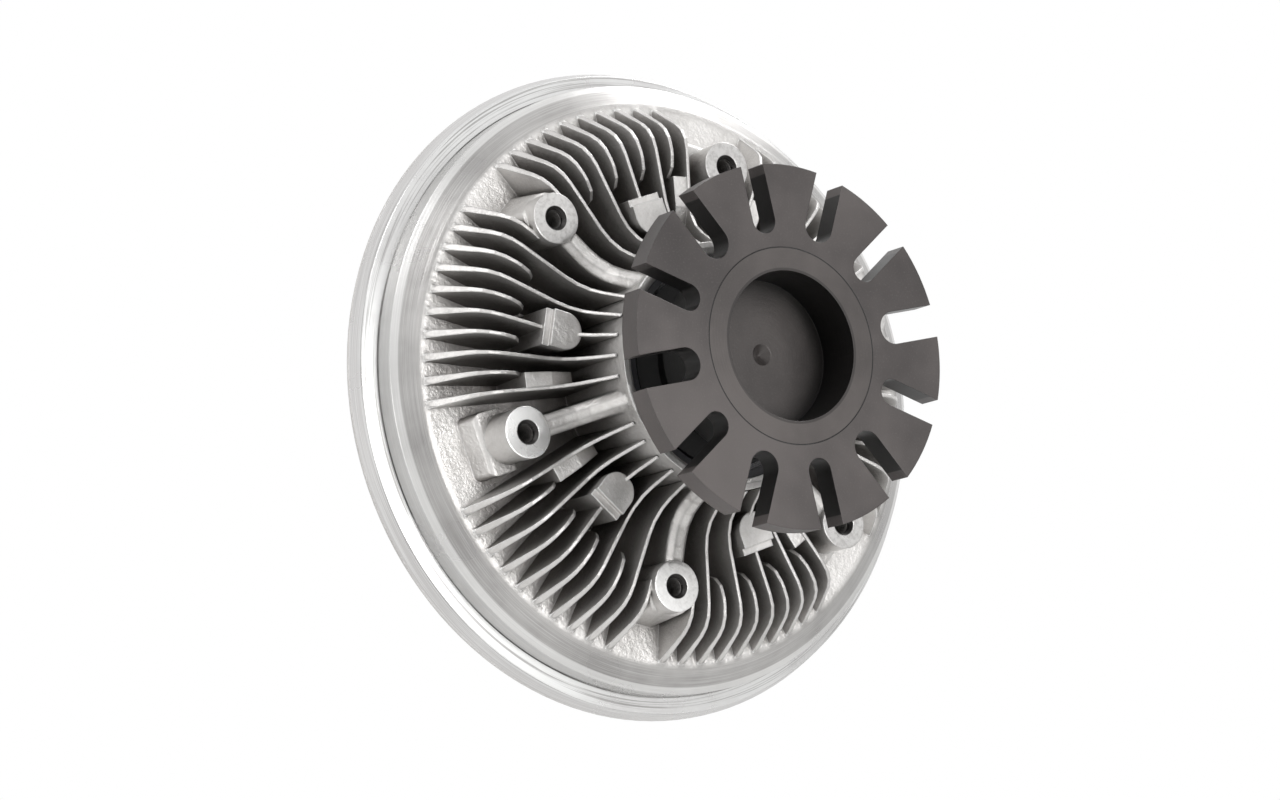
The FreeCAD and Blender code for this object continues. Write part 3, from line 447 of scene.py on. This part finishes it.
def castAluminium(look):
    paint, tree, shader = startFinish(look["name"], look["cast"], look["metal"], look["castRough"])
    here = clutchCoords(tree)
    place, lines = here["place"], turnedCoords(tree, here)
    noise = {
        "patches": grain(tree, place, 45.0, 5.0, 0.65),
        "specks": grain(tree, place, 1100.0, 2.0, 0.6),
        "cloud": grain(tree, place, 24.0, 4.0, 0.6),
        "skin": grain(tree, place, 620.0, 4.0, 0.65),
        "wave": grain(tree, place, 60.0, 2.0, 0.5),
        "streak": grain(tree, lines, 1.0, 3.0, 0.55),
        "scratch": grain(tree, lines, 0.4, 4.0, 0.65),
    }
    across, out = nearestBoss(tree, here, bossRing)
    softNormal, turn = roundedEdges(tree, here, across, look)
    mask = workedPlaces(tree, here, look)
    # where a highlight is painted on edges
    mask["edges"] = between(tree, turn, *look["highlightTurn"])
    mask["crests"] = between(tree, turn, *look["crestTurn"])
    # where shade is painted into the casting's colour
    mask["open"] = openness(tree, look)

    tone = castSkinTone(tree, mask, noise, look)
    tone = blendColours(tree, mask["dish"], tone, dishTone(tree, here, noise, look))
    tone = blendColours(tree, mask["rim"], tone, rimTone(tree, here, noise, look))
    # painted highlight on the edges of the dish
    tone = blendColours(tree, times(tree, mask["edges"], mask["dish"]), tone, look["bright"])
    tone = blendColours(tree, mask["faces"], tone, facedTone(tree, here, look))
    # painted shade in the holes, and the dark line of the joint
    for dark in holeShadeAndSeam(tree, here, length(tree, across, out), noise["cloud"], look):
        tone = blendColours(tree, dark, tone, look["hole"])
    tree.links.new(tone, shader.inputs["Base Color"])

    turned = larger(tree, mask["dish"], mask["rim"])
    worked = larger(tree, turned, mask["faces"])
    castRough, workedRough = look["castRough"], look["workedRough"]
    rough = blendNumbers(tree, worked,
                         between(tree, noise["patches"], 0.2, 0.8, castRough - 0.06, castRough + 0.06),
                         between(tree, noise["cloud"], 0.2, 0.8, workedRough - 0.05, workedRough + 0.08))
    tree.links.new(rough, shader.inputs["Roughness"])

    raw = minus(tree, 1.0, worked)
    relief = [(times(tree, noise["wave"], raw), look["waveDepth"]),
              (times(tree, noise["skin"], raw), look["skinDepth"]),
              (times(tree, noise["scratch"], turned), look["markDepth"])]
    bumpChain(tree, shader, relief, softNormal)
    return paint


castFinish = castAluminium(casting)
print("clutch: castings finished")


usualSteel = {
    "metal": 0.9,
    "cloud": 30.0,           # scale of the stains
    "vary": 0.05,            # of the roughness
    "dimple": 5.0 * mm,      # radius of the lathe centre in the pilot recess
}

# in the flange and hub, the wall colour is painted shade on cut walls, and the deepest colour is painted
# shade in the recess and slots and also draws the dark seam line
steelLooks = {
    "flange": dict(name="phosphatedFlange", colour=(0.093, 0.082, 0.079), dark=(0.045, 0.0395, 0.0385),
                   light=(0.12, 0.108, 0.105), shadeAndSeam=(0.006, 0.0055, 0.0055), metal=0.3, rough=0.36,
                   vary=0.1, cloud=11.0, edge=0.5 * mm, marks=0.02 * mm, depth=12.0 * mm, shut=0.35,
                   wide=0.92, seam=36.3 * mm, wall=(0.009, 0.008, 0.0078), wallTo=63.8 * mm),
    "hub": dict(name="phosphatedHub", colour=(0.094, 0.083, 0.079), dark=(0.056, 0.0495, 0.0475),
                light=(0.10, 0.09, 0.088), shadeAndSeam=(0.002, 0.002, 0.002), metal=0.35, rough=0.36,
                cloud=16.0, edge=0.4 * mm, marks=0.04 * mm, depth=26.0 * mm, shut=0.31, wide=0.70,
                seam=36.3 * mm, wall=(0.006, 0.0055, 0.0053), wallTo=30.0 * mm, lip=28.8 * mm),
    # painted shade: the threads are cut in the casting but coloured dark, as shade in the holes
    "tapped": dict(name="tappedThread", colour=(0.30, 0.29, 0.28), dark=(0.18, 0.17, 0.165),
                   light=(0.45, 0.44, 0.43), metal=0.8, rough=0.4, edge=0.1 * mm, marks=0.01 * mm),
    "ground": dict(name="groundSteel", colour=(0.6, 0.61, 0.63), dark=(0.5, 0.51, 0.53),
                   light=(0.7, 0.7, 0.72), metal=1.0, rough=0.2, edge=0.3 * mm, marks=0.02 * mm),
    "spring": dict(name="blackSpringSteel", colour=(0.09, 0.09, 0.095), dark=(0.06, 0.06, 0.065),
                   light=(0.14, 0.14, 0.15), metal=0.5, rough=0.4, edge=0.2 * mm, marks=0.02 * mm),
    "plate": dict(name="rolledSteel", colour=(0.5, 0.5, 0.51), dark=(0.42, 0.42, 0.43),
                  light=(0.6, 0.6, 0.6), rough=0.35, edge=0.2 * mm, marks=0.02 * mm),
    "zinc": dict(name="zincPlate", colour=(0.62, 0.62, 0.6), dark=(0.52, 0.52, 0.5),
                 light=(0.72, 0.72, 0.7), rough=0.3, edge=0.3 * mm, marks=0.01 * mm),
    "yellowZinc": dict(name="yellowZincPlate", colour=(0.62, 0.54, 0.33), dark=(0.5, 0.45, 0.33),
                       light=(0.7, 0.62, 0.42), rough=0.32, edge=0.4 * mm, marks=0.01 * mm),
    "bimetal": dict(name="rolledBimetal", colour=(0.5, 0.44, 0.36), dark=(0.42, 0.37, 0.31),
                    light=(0.6, 0.55, 0.48), metal=0.95, rough=0.3, edge=0.3 * mm, marks=0.01 * mm),
    "brass": dict(name="turnedBrass", colour=(0.72, 0.53, 0.23), dark=(0.62, 0.45, 0.2),
                  light=(0.8, 0.62, 0.32), metal=1.0, rough=0.28, edge=0.2 * mm, marks=0.03 * mm),
    "rotor": dict(name="turnedRotor", colour=(0.66, 0.66, 0.65), dark=(0.58, 0.58, 0.57),
                  light=(0.75, 0.75, 0.75), rough=0.3, edge=0.3 * mm, marks=0.06 * mm),
    "rubber": dict(name="sealRubber", colour=(0.03, 0.03, 0.03), dark=(0.022, 0.022, 0.022),
                   light=(0.05, 0.05, 0.05), metal=0.0, rough=0.6, edge=0.2 * mm, marks=0.02 * mm),
}


# painted shade: the walls cut in by the slots and the bore are coloured darker than the turned faces
def paintedWallShade(tree, here, look):
    wall = between(tree, facingAxis(tree), 0.4, 0.2)
    wall = times(tree, wall, between(tree, here["radius"], look["wallTo"], look["wallTo"] - 0.4 * mm))
    return times(tree, wall, between(tree, here["radius"], look["dimple"] - 0.5 * mm, look["dimple"]))


# painted shade: the mouth of the bore is broken by a narrow, darker edge
def paintedLipShade(tree, here, look):
    lip = times(tree, between(tree, here["radius"], look["lip"], look["lip"] - 0.2 * mm),
                between(tree, here["y"], 1.0 * mm, 0.5 * mm))
    return times(tree, lip, 0.5)


def turnedSteel(look):
    paint, tree, shader = startFinish(look["name"], look["colour"], look["metal"], look["rough"])
    here = clutchCoords(tree)
    cloud = grain(tree, here["place"], look["cloud"], 4.0, 0.6)
    speck = grain(tree, here["place"], 1400.0, 1.0, 0.5)
    streak = grain(tree, turnedCoords(tree, here), 0.8, 2.0, 0.5)
    tone = blendColours(tree, between(tree, cloud, 0.32, 0.68), look["dark"], look["colour"])
    tone = blendColours(tree, between(tree, speck, 0.55, 0.8, 0.0, 0.35), tone, look["light"])
    if "wall" in look:
        # painted shade on the slot and bore walls
        tone = blendColours(tree, paintedWallShade(tree, here, look), tone, look["wall"])
    if "lip" in look:
        # painted shade at the mouth of the bore
        tone = blendColours(tree, paintedLipShade(tree, here, look), tone, look["shadeAndSeam"])
    if "seam" in look:
        # the line where the hub is pressed into the flange
        seam = between(tree, awayFrom(tree, here["radius"], look["seam"]), 0.35 * mm, 0.1 * mm)
        tone = blendColours(tree, seam, tone, look["shadeAndSeam"])
    if "shadeAndSeam" in look:
        # painted shade deep in the recess and the slots, from ambient occlusion, but not in the centre
        # dimple
        dimple = between(tree, here["radius"], look["dimple"] + 0.2 * mm, look["dimple"] - 0.8 * mm)
        tone = blendColours(tree, larger(tree, openness(tree, look), dimple), look["shadeAndSeam"], tone)
    tree.links.new(tone, shader.inputs["Base Color"])
    rough = between(tree, cloud, 0.25, 0.75, look["rough"] - look["vary"], look["rough"] + look["vary"])
    tree.links.new(rough, shader.inputs["Roughness"])
    soft = node(tree, "Bevel", samples=4)
    soft.inputs["Radius"].default_value = look["edge"]
    bumpChain(tree, shader, [(streak, look["marks"]), (speck, 0.02 * mm)], soft.outputs["Normal"])
    return paint


steels = {key: turnedSteel({**usualSteel, **look}) for key, look in steelLooks.items()}

finishOf = {
    "rear_housing": castFinish,
    "front_cover": castFinish,
    "slotted_flange": steels["flange"],
    "drive_shaft": steels["hub"],
    "bearing_inner_ring": steels["ground"],
    "bearing_outer_ring": steels["ground"],
    "bearing_rollers": steels["ground"],
    "bearing_cage": steels["brass"],
    "bearing_retaining_ring": steels["spring"],
    "bearing_seal": steels["rubber"],
    "rotor": steels["rotor"],
    "rotor_bolt": steels["zinc"],
    "intermediate_plate": steels["plate"],
    "plate_rivets": steels["zinc"],
    "pump_wiper": steels["plate"],
    "valve_lever": steels["plate"],
    "valve_pivot": steels["ground"],
    "pin_bush": steels["brass"],
    "control_pin": steels["ground"],
    "bimetal_strip": steels["bimetal"],
    "bimetal_bracket": steels["yellowZinc"],
    "bracket_screws": steels["zinc"],
    "fill_plug": steels["zinc"],
}
for name, finish in finishOf.items():
    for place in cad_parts[name].material_slots:
        place.material = finish
print("clutch: finishes on", len(finishOf), "pieces")


bossThread = {
    "from": 59.4 * mm,       # just inside the chamfer
    "to": 76.0 * mm,
    "wall": 3.43 * mm,
    "crest": 3.05 * mm,
    "pitch": 1.25 * mm,
    "footHalf": 0.46,        # half widths of the ridge, in pitches
    "crestHalf": 0.08,
    "steps": 28,             # round each turn
    "runOut": 14.0,          # steps in which the ridge fades at both ends
}


def threadMesh(t, ring):
    bm = bmesh.new()
    turns = (t["to"] - t["from"]) / t["pitch"]
    count = int(turns * t["steps"])
    foot, top = t["footHalf"], t["crestHalf"]
    profile = [(t["wall"], -foot), (t["crest"], -top), (t["crest"], top), (t["wall"], foot)]
    for hole in range(ring["count"]):
        angle = radians(ring["firstAngle"] + 360 / ring["count"] * hole)
        centre = Vector((sin(angle), 0, cos(angle))) * ring["circle"]
        last = None
        for i in range(count + 1):
            around = 2 * pi * i / t["steps"]
            rise = t["from"] + t["pitch"] * i / t["steps"]
            fade = min(1.0, i / t["runOut"], (count - i) / t["runOut"])
            row = []
            for reach, lift in profile:
                reach = t["wall"] - (t["wall"] - reach) * fade
                spot = centre + Vector((reach * cos(around), rise + lift * t["pitch"], reach * sin(around)))
                row.append(bm.verts.new(spot))
            if last:
                for a in range(len(profile) - 1):
                    bm.faces.new((last[a], last[a + 1], row[a + 1], row[a]))
            last = row
    bmesh.ops.recalc_face_normals(bm, faces=bm.faces)
    mesh = bpy.data.meshes.new("boss_threads")
    bm.to_mesh(mesh)
    bm.free()
    for face in mesh.polygons:
        face.use_smooth = True
    return mesh


threads = bpy.data.objects.new("boss_threads", threadMesh(bossThread, bossRing))
scene.collection.objects.link(threads)
threads.data.materials.append(steels["tapped"])
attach(threads, "housing")
print("clutch: threads cut in the bosses")
